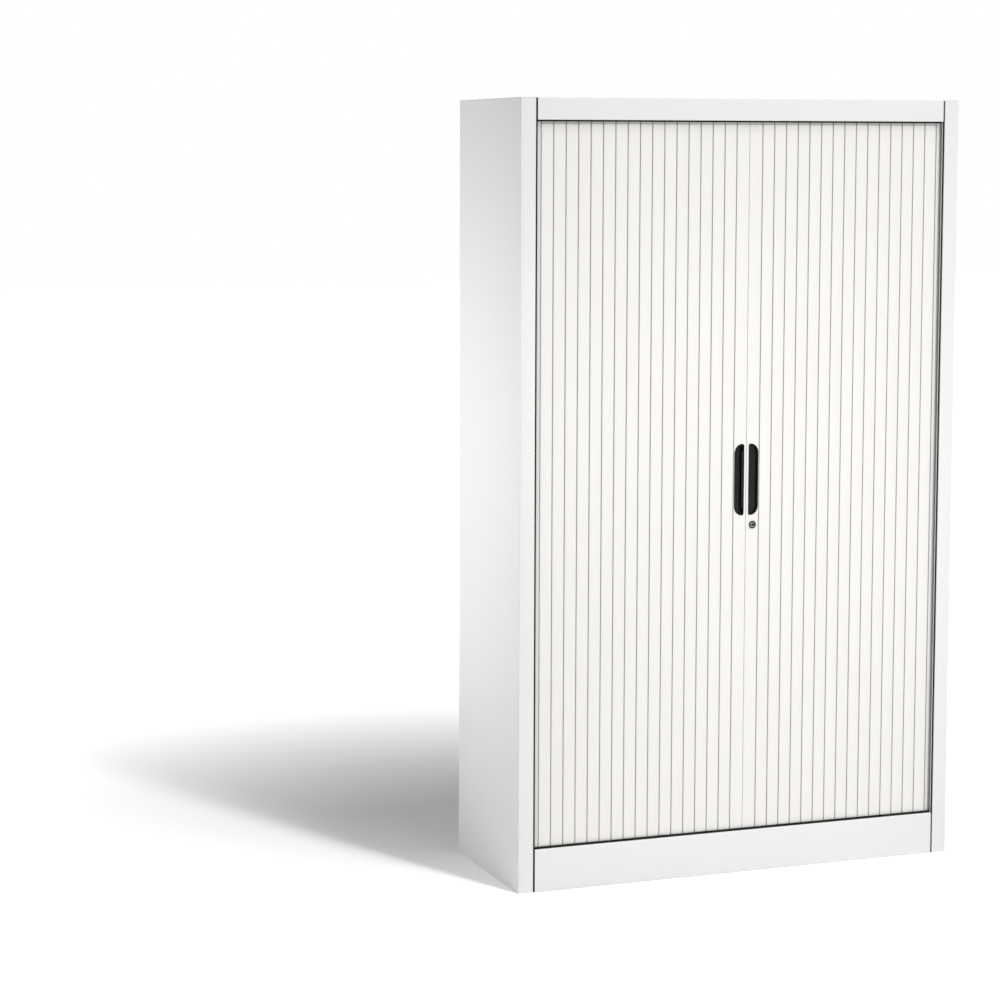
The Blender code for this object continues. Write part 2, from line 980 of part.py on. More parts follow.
def block(bm, hand, reach, y, y_size, z, z_size):
    """Box between two distances from the middle plane, on one side, centred at y and z."""
    low_x, high_x = sorted(hand * x for x in reach)
    box(
        bm,
        (low_x, y - y_size / 2, z - z_size / 2),
        (high_x, y + y_size / 2, z + z_size / 2),
    )


def inner_back_panel():
    reach = straight_end - inner_back_inset
    solid_box(
        "inner_back_panel",
        (-reach, inner_back_face, floor_level + fit_gap),
        (reach, inner_back_rear, ceiling_level - fit_gap),
        "body_enamel",
    )


def shelves():
    reach = inner_wall_face - shelf_side_gap
    for number in range(1, shelf_count + 1):
        level = floor_level + number * bay_height
        pan(
            f"shelf_{number}",
            (-reach, front + shelf_front_inset, level - shelf_fold),
            (reach, inner_back_face - fit_gap, level),
            -1,
            shelf_lip,
            shelf_corner,
        )


def build_carcass():
    side_panel("left_side_panel", -1)
    side_panel("right_side_panel", 1)
    top_panel()
    plinth()
    horizontal_pans()
    back_panel()
    edge_seal("left_edge_seal", -1)
    edge_seal("right_edge_seal", 1)
    inner_wall("left_inner_wall", -1)
    inner_wall("right_inner_wall", 1)
    inner_back_panel()
    shelves()
    track("lower_track", lower_web_bottom, lower_web_top, lower_lip_top)
    track("upper_track", upper_web_bottom, upper_web_top, upper_lip_bottom)


def build_door(word, hand, count, fittings):
    """Curtain of one door, hung on a guide at its lead edge; the tail stays in the side wall."""
    pull = grip_lip(handle(f"{word}_handle", hand), hand)
    pieces = [lead_slat(word, hand), pull, *slats(word, hand, count), *fittings]
    hang_on(door_guide(f"{word}_door", (lead_edge(hand), curtain_line, handle_level)), pieces)
    curtain_tail(word, hand)


def build_lock():
    """Barrel, and the turning plug and hook with their origins on the lock's axis."""
    turning = [lock_cylinder(), lock_hook()]
    for piece in turning:
        set_origin(piece, (lock_place, curtain_back, lock_level))
    return [lock_case(), *turning]


clear_scene()
parts = new_collection("tambour_door_cabinet")
cutters = new_collection("cutters")
materials = {name: new_material(name) for name in colours}
build_carcass()
build_door("left", -1, left_slats, [strike_plate()])
build_door("right", 1, right_slats, build_lock())
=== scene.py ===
import json
import math

import bmesh
import bpy
import numpy as np
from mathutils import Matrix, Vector
from mathutils.geometry import tessellate_polygon


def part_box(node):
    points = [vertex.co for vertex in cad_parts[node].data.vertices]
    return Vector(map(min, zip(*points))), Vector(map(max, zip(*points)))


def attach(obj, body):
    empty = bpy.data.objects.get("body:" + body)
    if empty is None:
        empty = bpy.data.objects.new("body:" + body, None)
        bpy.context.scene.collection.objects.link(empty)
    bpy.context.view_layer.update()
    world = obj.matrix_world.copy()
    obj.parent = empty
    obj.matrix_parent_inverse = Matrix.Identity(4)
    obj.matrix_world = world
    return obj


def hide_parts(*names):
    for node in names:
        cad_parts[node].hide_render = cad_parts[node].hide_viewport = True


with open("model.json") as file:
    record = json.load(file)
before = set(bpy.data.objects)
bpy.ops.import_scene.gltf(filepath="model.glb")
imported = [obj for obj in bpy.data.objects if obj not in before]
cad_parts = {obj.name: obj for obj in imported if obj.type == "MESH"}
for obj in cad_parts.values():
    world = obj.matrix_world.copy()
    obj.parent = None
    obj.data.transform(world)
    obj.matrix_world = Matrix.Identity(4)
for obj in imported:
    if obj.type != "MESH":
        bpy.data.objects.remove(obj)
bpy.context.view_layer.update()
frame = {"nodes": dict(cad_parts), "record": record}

nodes = frame["nodes"]
print("frame loaded:", len(nodes), "nodes")


# Camera and light

shot = {
    "place": (-2.944, -6.081, 1.802),  # metres
    "yaw": 0.3399,  # radians towards +X
    "pitch": 0.0917,  # radians down
    "focalPixels": 2622,  # in an image 1000 pixels wide
    "shiftX": 0.0845,
    "shiftY": -0.10,
}


def placeCamera(values):
    # lens in millimetres = focal length in pixels * sensor width / image width
    data = bpy.data.cameras.new("camera")
    data.sensor_width = 36
    data.lens = values["focalPixels"] * data.sensor_width / 1000
    data.shift_x = values["shiftX"]
    data.shift_y = values["shiftY"]
    data.clip_end = 200
    camera = bpy.data.objects.new("camera", data)
    camera.location = values["place"]
    camera.rotation_euler = (math.pi / 2 - values["pitch"], 0, -values["yaw"])
    bpy.context.scene.collection.objects.link(camera)
    bpy.context.scene.camera = camera


lampValues = {  # a tall narrow key, so that its shadow has a crisp side and a soft end
    "key": {"place": (2.2, -6.5, 12.2), "aim": (0, 0, 0.9), "size": (0.8, 9.0), "power": 1180},
    "frontFill": {"place": (0.3, -1.9, 1.1), "aim": (0.1, 0, 1.1), "size": (1.0, 0.8), "power": 9},
    "sideFill": {"place": (-1.8, 0.22, 1.16), "aim": (0, 0.2, 1.14), "size": (0.6, 0.5),
                 "power": 9.5},
}


def placeLamps(values):
    # a lamp shines down its -Z: tilted from straight down by its aim, then turned to it in plan
    for name, lamp in values.items():
        data = bpy.data.lights.new(name, "AREA")
        data.shape = "RECTANGLE"
        data.size, data.size_y = lamp["size"]
        data.energy = lamp["power"]
        made = bpy.data.objects.new(name, data)
        made.location = lamp["place"]
        offset = np.subtract(lamp["aim"], lamp["place"])
        flat = math.hypot(offset[0], offset[1])
        tilt = math.atan2(flat, -offset[2])
        made.rotation_euler = (tilt, 0, math.atan2(-offset[0], offset[1]))
        made.visible_camera = False
        bpy.context.scene.collection.objects.link(made)


# Materials

class Wire:
    # One socket with its maths: an expression on wires and numbers adds the Math nodes it needs.
    def __init__(self, finish, socket):
        self.finish = finish
        self.socket = socket

    def work(self, operation, first, second):
        return self.finish.add("ShaderNodeMath", {"operation": operation}, {0: first, 1: second})

    def __add__(self, other):
        return self.work("ADD", self, other)

    __radd__ = __add__

    def __sub__(self, other):
        return self.work("SUBTRACT", self, other)

    def __rsub__(self, other):
        return self.work("SUBTRACT", other, self)

    def __mul__(self, other):
        return self.work("MULTIPLY", self, other)

    __rmul__ = __mul__

    def __truediv__(self, other):
        return self.work("DIVIDE", self, other)


class Finish:
    # A material with short ways to add nodes and to set or link the inputs of its shader.
    def __init__(self, name, **constants):
        self.material = bpy.data.materials.new(name)
        self.material.use_nodes = True
        self.tree = self.material.node_tree
        self.shader = self.tree.nodes["Principled BSDF"]
        for socket, value in constants.items():
            self.shader.inputs[socket.replace("_", " ")].default_value = value

    def add(self, kind, settings=None, sockets=None, out=0):
        made = self.tree.nodes.new(kind)
        for key, value in (settings or {}).items():
            setattr(made, key, value)
        for key, value in (sockets or {}).items():
            self.feed(made.inputs[key], value)
        return Wire(self, made.outputs[out])

    def feed(self, socket, value):
        if isinstance(value, Wire):
            self.tree.links.new(value.socket, socket)
        else:
            socket.default_value = value

    def set(self, **links):
        for socket, value in links.items():
            self.feed(self.shader.inputs[socket.replace("_", " ")], value)

    def place(self, stretch=(1, 1, 1)):
        point = self.add("ShaderNodeTexCoord", out="Object")
        return self.add("ShaderNodeMapping", None, {"Vector": point, "Scale": stretch})

    def noise(self, scale, detail, stretch=(1, 1, 1)):
        # scale in cells per metre
        return self.add(
            "ShaderNodeTexNoise",
            None,
            {"Vector": self.place(stretch), "Scale": scale, "Detail": detail},
        )

    def mix(self, share, first, second, blend="MIX"):
        return self.add(
            "ShaderNodeMix",
            {"data_type": "RGBA", "blend_type": blend},
            {"Factor": share, 6: first, 7: second},
            out=2,
        )

    def ramp(self, value, start, end, low=0.0, high=1.0, kind="LINEAR"):
        # low before the start, high after the end, and a straight or smooth rise between them
        return self.add(
            "ShaderNodeMapRange",
            {"interpolation_type": kind},
            {"Value": value, "From Min": start, "From Max": end, "To Min": low, "To Max": high},
        )

    def relief(self, height, distance, strength, under=None):
        sockets = {"Height": height, "Distance": distance, "Strength": strength}
        if under is not None:
            sockets["Normal"] = under
        return self.add("ShaderNodeBump", None, sockets)


def white(value, warm=0.0):
    # a near-white whose red rises and blue falls by the warmth
    return (value * (1 + warm), value * (1 + warm / 3), value * (1 - warm), 1)


enamelValues = {
    "colour": white(0.84),
    "shade": white(0.81, -0.002),
    "driftScale": 1.7,
    "roughness": 0.31,
    "glossScale": 11,
    "glossSpread": 0.10,  # added to the roughness where the noise is 1
    "peelScale": 620,  # the powder coat's orange peel
    "peelDepth": 0.00003,
    "peelStrength": 0.35,
    "grainScale": 2480,
    "grainStrength": 0.25,
}


def enamelFinish(values):
    # powder coat: wide tone drift, fine orange peel, gloss that wanders a little
    finish = Finish("whiteEnamel", Specular_IOR_Level=0.5, Coat_Weight=0.0)
    drift = finish.noise(values["driftScale"], 3)
    colour = finish.mix(drift, values["colour"], values["shade"])
    peel = finish.noise(values["peelScale"], 2)
    grain = finish.noise(values["grainScale"], 1)
    gloss = finish.noise(values["glossScale"], 3)
    first = finish.relief(peel, values["peelDepth"], values["peelStrength"])
    finish.set(
        Base_Color=colour,
        Roughness=gloss * values["glossSpread"] + values["roughness"],
        Normal=finish.relief(grain, values["peelDepth"] / 3, values["grainStrength"], first),
    )
    return finish.material


slatPlasticValues = {
    "colour": white(0.86, 0.024),
    "shade": white(0.82, 0.030),
    "driftScale": 2.1,
    "bandScale": 26,
    "bandStretch": (1, 1, 0.05),
    "bandShare": 0.6,
    "roughness": 0.38,
    "lineScale": 900,  # die lines per metre across the slat
    "lineStretch": (1, 1, 0.004),
    "lineDepth": 0.00002,
    "lineStrength": 0.3,
    "lineSpread": 0.08,  # added to the roughness by the lines
    # painted shade: the tone that the joints darken to with their depth behind the face
    "grooveShade": white(0.52, 0.018),
    "grooveStart": 0.0009,  # depth behind the face at which a joint starts to darken
    "grooveEnd": 0.0021,
    "headShade": 0.74,  # tone of the strip right under the header, kept from the light
    "headLevel": 1.8862,
    "headLine": 0.0014,  # height of the darker line along the strip's lower edge
    "headEdge": (-0.4, 0.2),  # start and end of the strip's rise, in heights of the line
    "headLineEdge": (1.4, 0.8),
    "headLineShade": 0.25,
}


def slatFinish(values, face=None):
    # extruded plastic: faint die lines along Z, slow change of tone along the slat; on the face,
    # painted shade in the joints and a painted shadow of the header in a strip under it
    finish = Finish("slatPlastic" if face is None else "slatFace", Specular_IOR_Level=0.45)
    lines = finish.noise(values["lineScale"], 2, values["lineStretch"])
    bands = finish.noise(values["bandScale"], 2, values["bandStretch"])
    drift = finish.noise(values["driftScale"], 2)
    share = bands * values["bandShare"] + drift * (1 - values["bandShare"])
    colour = finish.mix(share, values["colour"], values["shade"])
    if face is not None:
        point = finish.add("ShaderNodeTexCoord", out="Object")
        y = finish.add("ShaderNodeSeparateXYZ", None, {0: point}, out="Y")
        z = finish.add("ShaderNodeSeparateXYZ", None, {0: point}, out="Z")
        # painted shade: the recessed joints darken with their depth behind the face
        ends = (face + values["grooveStart"], face + values["grooveEnd"])
        depth = finish.ramp(y, *ends, kind="SMOOTHSTEP")
        colour = finish.mix(depth, colour, values["grooveShade"])
        # tone of the head = share of light in the strip * share of light in its line
        rise = (z - values["headLevel"]) / values["headLine"]
        strip = finish.ramp(rise, *values["headEdge"])
        line = finish.ramp(rise, *values["headLineEdge"])
        shaded = 1 - strip * (1 - values["headShade"])
        tone = shaded * (1 - strip * line * values["headLineShade"])
        grey = finish.add("ShaderNodeCombineXYZ", None, {0: tone, 1: tone, 2: tone})
        colour = finish.mix(1.0, colour, grey, "MULTIPLY")
    finish.set(
        Base_Color=colour,
        Roughness=lines * values["lineSpread"] + values["roughness"],
        Normal=finish.relief(lines, values["lineDepth"], values["lineStrength"]),
    )
    return finish.material


blackValues = {  # moulded plastic with a fine spark texture
    "name": "blackPlastic",
    "shader": {"Specular_IOR_Level": 0.14},
    "colour": (0.007, 0.0075, 0.0075, 1),
    "dull": (0.016, 0.017, 0.017, 1),
    "dullShare": 0.35,
    "stain": (35, 3),  # scale and detail
    "scratch": (2600, 2),
    "scratchDepth": 0.00002,
    "scratchStrength": 0.35,
    "roughness": 0.42,
    "stainSpread": 0.16,
}
brightNickelValues = {
    "name": "brightNickel",
    "shader": {"Metallic": 1.0},
    "colour": (0.34, 0.34, 0.345, 1),
    "dull": (0.24, 0.24, 0.245, 1),
    "dullShare": 1.0,
    "stain": (240, 4),
    "scratch": (1500, 2, (0.2, 1, 1.6)),  # scale, detail and stretch
    "scratchDepth": 0.00001,
    "scratchStrength": 0.3,
    "roughness": 0.24,
    "stainSpread": 0.18,
}
darkNickelValues = {
    **brightNickelValues,
    "name": "darkNickel",
    "colour": (0.060, 0.060, 0.062, 1),
    "dull": (0.035, 0.035, 0.036, 1),
    "roughness": 0.32,
}
zincValues = {  # soft blotches and rolling lines
    **brightNickelValues,
    "name": "zincSteel",
    "colour": (0.60, 0.61, 0.63, 1),
    "dull": (0.46, 0.47, 0.49, 1),
    "stain": (120, 3),
    "scratch": (1800, 1, (1, 1, 0.05)),
    "roughness": 0.32,
    "stainSpread": 0.16,
}


def stainedFinish(values):
    # plastic or plated metal: stains that dull it, and fine marks in its surface
    finish = Finish(values["name"], **values["shader"])
    stain = finish.noise(*values["stain"])
    scratch = finish.noise(*values["scratch"])
    finish.set(
        Base_Color=finish.mix(stain * values["dullShare"], values["colour"], values["dull"]),
        Roughness=stain * values["stainSpread"] + values["roughness"],
        Normal=finish.relief(scratch, values["scratchDepth"], values["scratchStrength"]),
    )
    return finish.material


floorValues = {
    "halfWidth": 30.0,
    "colour": (0.87, 0.87, 0.87, 1),
    "worn": (0.85, 0.85, 0.85, 1),
    "driftScale": 0.8,
    "centre": (0.42, -0.60, 0.0),  # takes the coordinates to the middle of the shadow
    "lift": 0.0,  # added there to what the camera sees
    "farLift": 0.95,  # and beyond the far radius
    "nearRadius": 0.15,
    "farRadius": 2.6,
}


def floorFinish(values):
    # matt floor; what the camera sees is lifted towards white by a glow, and the shadow stays near
    # its middle; the glow's rise away from there is painted light that fades the shadow's far end
    # glow = lift * (1 for a camera, mirror or transmission ray, else 0)
    finish = Finish("paleFloor", Roughness=0.9, Specular_IOR_Level=0.1)
    drift = finish.noise(values["driftScale"], 2)
    finish.set(Base_Color=finish.mix(drift, values["colour"], values["worn"]))
    seen = finish.add("ShaderNodeLightPath", out="Is Camera Ray")
    gloss = finish.add("ShaderNodeLightPath", out="Is Glossy Ray")
    through = finish.add("ShaderNodeLightPath", out="Is Transmission Ray")
    point = finish.add("ShaderNodeTexCoord", out="Object")
    centre = values["centre"]
    moved = finish.add("ShaderNodeVectorMath", {"operation": "ADD"}, {0: point, 1: centre})
    reach = finish.add("ShaderNodeVectorMath", {"operation": "LENGTH"}, {0: moved}, out="Value")
    radii = (values["nearRadius"], values["farRadius"])
    # painted light: the glow rises with the distance from the shadow's middle and fades the
    # shadow's far end
    lift = finish.ramp(reach, *radii, values["lift"], values["farLift"], "SMOOTHSTEP")
    glow = finish.add("ShaderNodeEmission", None, {"Strength": (seen + gloss + through) * lift})
    matt = Wire(finish, finish.shader.outputs[0])
    both = finish.add("ShaderNodeAddShader", None, {0: matt, 1: glow})
    end = finish.tree.nodes["Material Output"]
    finish.tree.links.new(both.socket, end.inputs["Surface"])
    return finish.material


studioValues = {"fill": 0.25, "seen": 1.0}


def setWorld(values):
    # plain fill for the object, white where the camera or a reflection looks past it
    world = bpy.data.worlds.new("studio")
    world.use_nodes = True
    tree = world.node_tree
    back = tree.nodes["Background"]
    back.inputs["Color"].default_value = (1, 1, 1, 1)
    path = tree.nodes.new("ShaderNodeLightPath")
    total = path.outputs["Is Camera Ray"]
    for name in ("Is Glossy Ray", "Is Transmission Ray"):
        joined = tree.nodes.new("ShaderNodeMath")
        joined.operation = "MAXIMUM"
        tree.links.new(total, joined.inputs[0])
        tree.links.new(path.outputs[name], joined.inputs[1])
        total = joined.outputs[0]
    level = tree.nodes.new("ShaderNodeMapRange")
    level.inputs["To Min"].default_value = values["fill"]
    level.inputs["To Max"].default_value = values["seen"]
    tree.links.new(total, level.inputs["Value"])
    tree.links.new(level.outputs[0], back.inputs["Strength"])
    bpy.context.scene.world = world


finishes = {
    "body_enamel": enamelFinish(enamelValues),
    "slat_plastic": slatFinish(slatPlasticValues),
    "slat_face": slatFinish(slatPlasticValues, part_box("left_slat_02")[0][1]),
    "black_plastic": stainedFinish(blackValues),
    "lock_metal": stainedFinish(brightNickelValues),
    "zinc_steel": stainedFinish(zincValues),
    "dark_nickel": stainedFinish(darkNickelValues),
}
print("finishes made:", len(finishes))


def dressNodes():
    # each CAD node takes the finish of the slot that the record gives it
    for part in frame["record"]["subparts"]:
        obj = nodes[part["node"]]
        obj.data.materials.clear()
        obj.data.materials.append(finishes[part["material_slot"]])


dressNodes()
print("nodes dressed")


# Mesh work shared by the pieces

softAngle = 35  # degrees between two faces up to which their edge is shaded smooth
cutterOverrun = 0.002  # how far a cutting tool runs past the sheet


def loopFaces(rows, count, start=0):
    # quads between neighbouring rows of a closed loop; point i of row r is number r * count + i
    row, i = np.meshgrid(np.arange(rows - 1), np.arange(count), indexing="ij")
    j = (i + 1) % count
    corners = [row * count + i, row * count + j, (row + 1) * count + j, (row + 1) * count + i]
    return (np.stack(corners, axis=-1).reshape(-1, 4) + start).tolist()


def arcOf(centre, radius, start, end, count):
    # point = centre + radius * (cos, sin) of angles spread evenly from start to end, in degrees
    angle = np.radians(np.linspace(start, end, count))
    x, y = centre[0] + radius * np.cos(angle), centre[1] + radius * np.sin(angle)
    return np.stack([x, y], axis=1)


def roundedBox(low, high, radius, steps):
    # rectangle with a quarter arc at each corner, from the lower right one anticlockwise
    left, right = low[0] + radius, high[0] - radius
    under, over = low[1] + radius, high[1] - radius
    corners = [((right, under), -90), ((right, over), 0), ((left, over), 90), ((left, under), 180)]
    arcs = [arcOf(centre, radius, turn, turn + 90, steps) for centre, turn in corners]
    return np.concatenate(arcs)


def prism(loops, low, high, axis=2):
    # outline and hole loops carried straight along one axis, with both ends filled by triangles
    points, faces, lowNumbers, highNumbers, start = [], [], [], [], 0
    for loop in loops:
        count = len(loop)
        points += [np.insert(loop, axis, place, axis=1) for place in (low, high)]
        faces += loopFaces(2, count, start)
        lowNumbers.append(start + np.arange(count))
        highNumbers.append(start + count + np.arange(count))
        start += 2 * count
    flat = [[Vector((x, y, 0)) for x, y in loop] for loop in loops]
    ends = np.array(tessellate_polygon(flat))
    faces += np.concatenate(lowNumbers)[ends].tolist()
    faces += np.concatenate(highNumbers)[ends[:, ::-1]].tolist()
    return np.concatenate(points), faces


def loft(rings):
    # closed rings with the same number of points joined row by row, the first and the last filled
    rings = np.array(rings)
    rows, count = rings.shape[:2]
    faces = loopFaces(rows, count)
    faces += [list(range(count))[::-1], list(range((rows - 1) * count, rows * count))]
    return rings.reshape(-1, 3), faces


def turned(profile, place, level, sides=64, closed=False):
    # profile of (radius, y) turned about the line through (place, level) along Y
    profile = np.array(profile)
    angle = np.linspace(0, 2 * np.pi, sides, endpoint=False)
    radius, y = profile[:, 0, None], profile[:, 1, None]
    ring = [place + radius * np.cos(angle), y + 0 * angle, level + radius * np.sin(angle)]
    rings = np.stack(ring, axis=-1)
    if closed:
        rings = np.concatenate([rings, rings[:1]])
        return rings.reshape(-1, 3), loopFaces(len(rings), sides)
    return loft(rings)


def together(*shells):
    # several shells as one: the point numbers of each go up by the points before it
    points, faces, start = [], [], 0
    for shellPoints, shellFaces in shells:
        points.append(shellPoints)
        faces += [[start + number for number in face] for face in shellFaces]
        start += len(shellPoints)
    return np.concatenate(points), faces


def piece(name, shell, slot, smooth=softAngle):
    # mesh from points and faces: doubles merged, faces turned outwards, smooth up to an angle
    points, faces = shell
    mesh = bpy.data.meshes.new(name)
    mesh.from_pydata(np.asarray(points, dtype=float).tolist(), [], faces)
    work = bmesh.new()
    work.from_mesh(mesh)
    bmesh.ops.remove_doubles(work, verts=work.verts[:], dist=0.000002)
    bmesh.ops.recalc_face_normals(work, faces=work.faces[:])
    work.to_mesh(mesh)
    work.free()
    mesh.shade_smooth()
    mesh.set_sharp_from_angle(angle=math.radians(smooth))
    made = bpy.data.objects.new(name, mesh)
    bpy.context.scene.collection.objects.link(made)
    mesh.materials.append(finishes[slot])
    return made


def cut(obj, shells, operation="DIFFERENCE"):
    # exact Boolean with each shell, then the result becomes the mesh and the tools go
    tools = [piece("tool", shell, "body_enamel") for shell in shells]
    for tool in tools:
        step = obj.modifiers.new("cut", "BOOLEAN")
        step.operation = operation
        step.solver = "EXACT"
        step.object = tool
    bpy.context.view_layer.update()
    graph = bpy.context.evaluated_depsgraph_get()
    mesh = bpy.data.meshes.new_from_object(obj.evaluated_get(graph))
    obj.modifiers.clear()
    mesh.materials.clear()
    mesh.materials.append(obj.data.materials[0])
    old = obj.data
    obj.data = mesh
    bpy.data.meshes.remove(old)
    mesh.name = obj.name
    mesh.polygons.foreach_set("material_index", np.zeros(len(mesh.polygons), dtype=np.int32))
    mesh.shade_smooth()
    mesh.set_sharp_from_angle(angle=math.radians(softAngle))
    for tool in tools:
        bpy.data.objects.remove(tool, do_unlink=True)
    return obj


def settle(obj, body, slot, *replaced):
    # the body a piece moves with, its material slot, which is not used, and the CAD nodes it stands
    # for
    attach(obj, body)
    if replaced:
        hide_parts(*replaced)


# Curtain: slats, lead slats and the part that is already round the corner

slatShape = {
    "thickness": 0.0070,
    "groove": 0.0029,
    "crown": 0.0005,  # how far the edges of a slat's face lie behind its middle
    "crownPower": 4,
    "edge": 0.0008,
    "meetingEase": 0.0018,  # rounder edges where the two shutters meet
    "wall": 0.0016,
    "stem": 0.0012,
    "bead": 0.0015,
    "socket": 0.0020,
    "socketInset": 0.0033,
    "mouth": 0.0022,
    "chamberGap": 0.0018,
    "chamberEase": 0.6,  # share of the edge radius at the hollow's corners
    "facePoints": 21,
    "arcPoints": 7,
}


def slatLoop(shape, length, nearSocket=True, farTongue=True, nearEase=None):
    # outline in (along, depth): crowned face, far end with its bead, back, near end with its socket
    # depth of the face = crown * |2s - 1| ** power, with s the share of the way along it
    edge, thick, middle = shape["edge"], shape["thickness"], shape["thickness"] / 2
    crown, count = shape["crown"], shape["arcPoints"]
    near = nearEase or edge
    share = np.linspace(0, 1, shape["facePoints"])
    fall = crown * np.abs(2 * share - 1) ** shape["crownPower"]
    face = np.stack([near + (length - near - edge) * share, fall], axis=1)
    parts = [
        arcOf((near, crown + near), near, 180, 270, count)[:-1],
        face,
        arcOf((length - edge, crown + edge), edge, -90, 0, count)[1:],
    ]
    if farTongue:
        half = shape["stem"] / 2
        opening = math.degrees(math.asin(half / shape["bead"]))
        centre = (length + shape["groove"] + shape["socketInset"], middle)
        parts.append(np.array([(length, middle - half)]))
        parts.append(arcOf(centre, shape["bead"], 180 + opening, 540 - opening, 2 * count))
        parts.append(np.array([(length, middle + half)]))
    parts.append(arcOf((length - edge, thick - edge), edge, 0, 90, count))
    parts.append(arcOf((edge, thick - edge), edge, 90, 180, count))
    if nearSocket:
        half = shape["mouth"] / 2
        opening = math.degrees(math.asin(half / shape["socket"]))
        centre = (shape["socketInset"], middle)
        parts.append(np.array([(0, middle + half)]))
        parts.append(arcOf(centre, shape["socket"], 180 - opening, opening - 180, 2 * count))
        parts.append(np.array([(0, middle - half)]))
    return np.concatenate(parts)


def chamberLoop(shape, start, end):
    # hollow of the extrusion: a long box with round corners
    low, high = shape["wall"], shape["thickness"] - shape["wall"]
    return roundedBox((start, low), (end, high), shape["edge"] * shape["chamberEase"], 4)


def slatSection(shape, length, farTongue=True):
    # outline and hollow of a slat with a socket at its near end
    start = shape["socketInset"] + shape["socket"] + shape["chamberGap"]
    outline = slatLoop(shape, length, farTongue=farTongue)
    return [outline, chamberLoop(shape, start, length - shape["wall"])]


def laid(loop, edge, hand):
    # (along, depth) to (x, y): near end at the edge, running outwards, face at the curtain's front
    return np.stack([edge + hand * loop[:, 0], curtainFace + loop[:, 1]], axis=1)


def nearEdge(node, hand):
    # X of the side of a node's box that faces the meeting line
    low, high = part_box(node)
    return low[0] if hand > 0 else high[0]


def buildSlats(word, hand, count):
    # straight slats of one shutter: length = pitch - groove, each laid from its node's near edge
    loops = slatSection(slatShape, pitch - slatShape["groove"])
    for number in range(1, count + 1):
        node = f"{word}_slat_{number:02d}"
        edge = nearEdge(node, hand)
        shell = prism([laid(loop, edge, hand) for loop in loops], slatFoot, slatHead)
        made = piece(f"{word}Slat{number:02d}", shell, "slat_face")
        settle(made, f"{word}_link_{number:02d}", "slat_plastic", node)


(_, curtainFace, slatFoot), (_, _, slatHead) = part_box("left_slat_02")
pitch = nearEdge("left_slat_02", -1) - nearEdge("left_slat_03", -1)
leadPitch = abs(nearEdge("left_slat_01", -1) - nearEdge("left_lead_slat", -1))
leadLength = leadPitch - slatShape["groove"]
buildSlats("left", -1, 16)
buildSlats("right", 1, 15)
print("slats built")


cornerShape = {
    "radius": 0.0400,
    "slats": 5,
    "swell": 0.6,  # share of a slat's bow round the corner by which its joints stand outwards
}


def cornerPoint(distance, swell, straightEnd, line, values):
    # place on the guide: a quarter circle from the end of the straight run, then straight back
    radius = values["radius"]
    turn = radius * math.pi / 2
    if distance <= turn:
        angle = distance / radius
        reach = radius + swell * math.sin(angle)
        return straightEnd + reach * math.sin(angle), line + radius - reach * math.cos(angle)
    return straightEnd + radius + swell, line + radius + distance - turn


def buildCorner(word, hand, values):
    # slats chained round the corner: each lies straight between two joints of the guide
    # bow of a chord on an arc = chord squared / (8 * radius)
    shape = slatShape
    straightEnd = abs(nearEdge(f"{word}_curtain_tail", hand))
    line = curtainFace + shape["thickness"] / 2
    bow = pitch ** 2 / (8 * values["radius"]) * values["swell"]
    turn = values["radius"] * math.pi / 2
    joints = []
    for number in range(values["slats"] + 1):
        distance = shape["socketInset"] + number * pitch
        swell = bow if distance < turn + pitch else 0
        joints.append(cornerPoint(distance, swell if number else 0, straightEnd, line, values))
    shells = []
    for number, ((x0, y0), (x1, y1)) in enumerate(zip(joints, joints[1:])):
        span = math.hypot(x1 - x0, y1 - y0)
        ux, uy = (x1 - x0) / span, (y1 - y0) / span
        last = number == values["slats"] - 1
        turnedLoops = []
        for loop in slatSection(shape, span - shape["groove"], farTongue=not last):
            along, depth = loop[:, 0] - shape["socketInset"], loop[:, 1] - shape["thickness"] / 2
            x = x0 + ux * along - uy * depth
            y = y0 + uy * along + ux * depth
            turnedLoops.append(np.stack([hand * x, y], axis=1))
        shells.append(prism(turnedLoops, slatFoot, slatHead))
    made = piece(f"{word}CornerSlats", together(*shells), "slat_plastic")
    settle(made, "root", "slat_plastic", f"{word}_curtain_tail")


buildCorner("left", -1, cornerShape)
buildCorner("right", 1, cornerShape)
print("corner slats built")


pullShape = {
    "width": 0.0270,
    "height": 0.1800,
    "level": 1.0010,
    "setback": 0.0060,
    "cornerWidth": 0.0205,
    "cornerHeight": 0.0235,
    "smallRadius": 0.0046,
    "proud": 0.0012,
    "rim": 0.0024,
    "wall": 0.0013,
    "depth": 0.0095,
    "backEase": 0.0006,
    "gap": 0.0003,
    "cup": [(0.0022, 0), (0.0012, -0.0002), (0.0009, -0.0010)],  # inset past the rim, depth
    "ledge": [(0.0008, 0.0036), (0.0005, 0.0031), (0, 0.0029)],
}

gripShape = {  # bar on the meeting side of the cup that the fingertips catch
    "tuck": 0.0010,  # how far it starts inside the rim
    "reach": 0.0055,
    "round": 0.0009,
    "top": 0.0012,  # behind the rim's face
    "noseBack": 0.0014,  # centre of the rear round, from the end of the reach
    "noseDrop": 0.0022,  # and from the top
    "root": 0.0034,
    "overrun": 0.004,  # past the straight part of the pull at both ends
}


